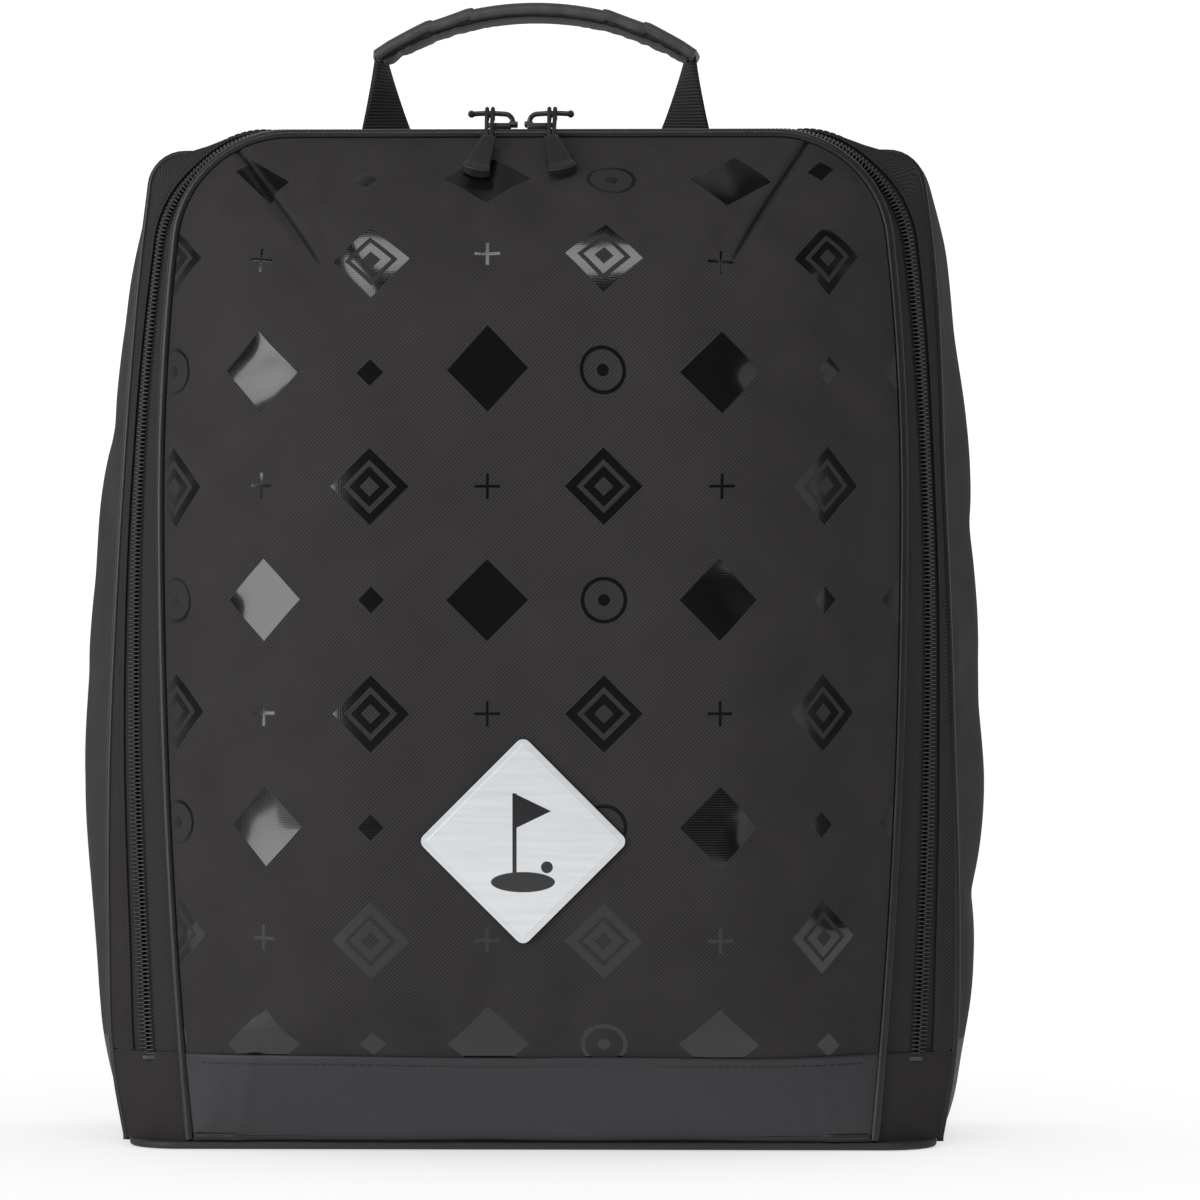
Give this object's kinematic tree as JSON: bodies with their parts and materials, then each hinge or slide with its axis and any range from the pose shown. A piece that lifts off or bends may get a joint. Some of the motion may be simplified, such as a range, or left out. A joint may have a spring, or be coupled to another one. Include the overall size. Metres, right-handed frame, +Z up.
{
  "type": "golf shoe bag",
  "caption": "Soft padded shoe bag with a domed front that zips round an arch and folds down, cord zip pulls and a top carry handle.",
  "frame": {"origin": "on the floor under the middle of the bag's box", "axes": "+Z up, front of the bag towards -Y, +X to the right as seen from the front"},
  "size_m": [0.335, 0.1611, 0.4235],
  "materials": {
    "twill": "dark charcoal twill with a fine diagonal rib",
    "leather": "smooth black synthetic leather, satin",
    "foam": "closed grey foam sheet, hidden inside the walls",
    "lining": "plain woven lining",
    "piping": "black synthetic leather rolled over a cord, soft gloss",
    "zip_tape": "knitted black zip tape",
    "zip_coil": "black nylon coil",
    "webbing": "ribbed black webbing",
    "zip_metal": "black enamelled zinc",
    "cord": "braided black cord",
    "badge": null,
    "board": "stiff base board, hidden"
  },
  "bodies": {
    "root": {"side_panel_left": "twill", "side_panel_right": "twill", "top_panel": "twill", "back_panel": "twill", "base_panel": "leather", "base_board": "board", "base_foam": "foam", "side_foam_left": "foam", "side_foam_right": "foam", "top_foam": "foam", "back_foam": "foam", "case_lining": "lining", "back_lining": "lining", "leather_band": "leather", "band_foam": "foam", "band_lining": "lining", "piping_foot_left": "piping", "piping_foot_right": "piping", "rim_piping": "piping", "zip_tape_outer": "zip_tape", "zip_surround": "twill", "zip_teeth_outer": "zip_coil", "gusset_end_left": "twill", "gusset_end_right": "twill", "zip_stop_left": "zip_coil", "zip_stop_right": "zip_coil", "handle_anchor_left": "webbing", "handle_anchor_right": "webbing", "handle_patch": "lining"},
    "front_flap": {"front_panel": "twill", "front_foam": "foam", "front_lining": "lining", "badge": "badge", "front_piping": "piping", "zip_tape_inner": "zip_tape", "zip_teeth_inner": "zip_coil", "flap_binding": "lining"},
    "slider_left": {"slider_left": "zip_metal"},
    "slider_right": {"slider_right": "zip_metal"},
    "bail_left": {"pull_bail_left": "zip_metal"},
    "bail_right": {"pull_bail_right": "zip_metal"},
    "pull_left": {"pull_cord_left": "cord", "pull_tab_left": "leather"},
    "pull_right": {"pull_cord_right": "cord", "pull_tab_right": "leather"},
    "handle": {"grip_cover": "leather", "grip_core": "webbing", "grip_underlay": "leather", "webbing_leg_left": "webbing", "webbing_leg_right": "webbing"}
  },
  "joints": [
    {"name": "flap_fold", "type": "hinge", "parent": "root", "child": "front_flap", "pos_m": [0, -0.066, 0.034], "axis": [1, 0, 0], "range_deg": [0, 88]},
    {"name": "slider_left_run", "type": "slide", "parent": "front_flap", "child": "slider_left", "axis": [-1, 0, 0], "range_m": [0, 0.07]},
    {"name": "slider_right_run", "type": "slide", "parent": "front_flap", "child": "slider_right", "axis": [1, 0, 0], "range_m": [0, 0.07]},
    {"name": "bail_left_lift", "type": "hinge", "parent": "slider_left", "child": "bail_left", "pos_m": [-0.0068, -0.03, 0.3752], "axis": [0, 1, 0], "range_deg": [0, 60]},
    {"name": "bail_right_lift", "type": "hinge", "parent": "slider_right", "child": "bail_right", "pos_m": [-0.0012, -0.03, 0.3752], "axis": [0, -1, 0], "range_deg": [0, 60]},
    {"name": "pull_left_swing", "type": "hinge", "parent": "bail_left", "child": "pull_left", "pos_m": [-0.0153, -0.03, 0.377], "axis": [-1, 0, 0], "range_deg": [0, 100]},
    {"name": "pull_right_swing", "type": "hinge", "parent": "bail_right", "child": "pull_right", "pos_m": [0.0073, -0.03, 0.377], "axis": [-1, 0, 0], "range_deg": [0, 100]},
    {"name": "handle_lean", "type": "hinge", "parent": "root", "child": "handle", "pos_m": [0, 0.028, 0.3716], "axis": [1, 0, 0], "range_deg": [-62, 60]}
  ]
}
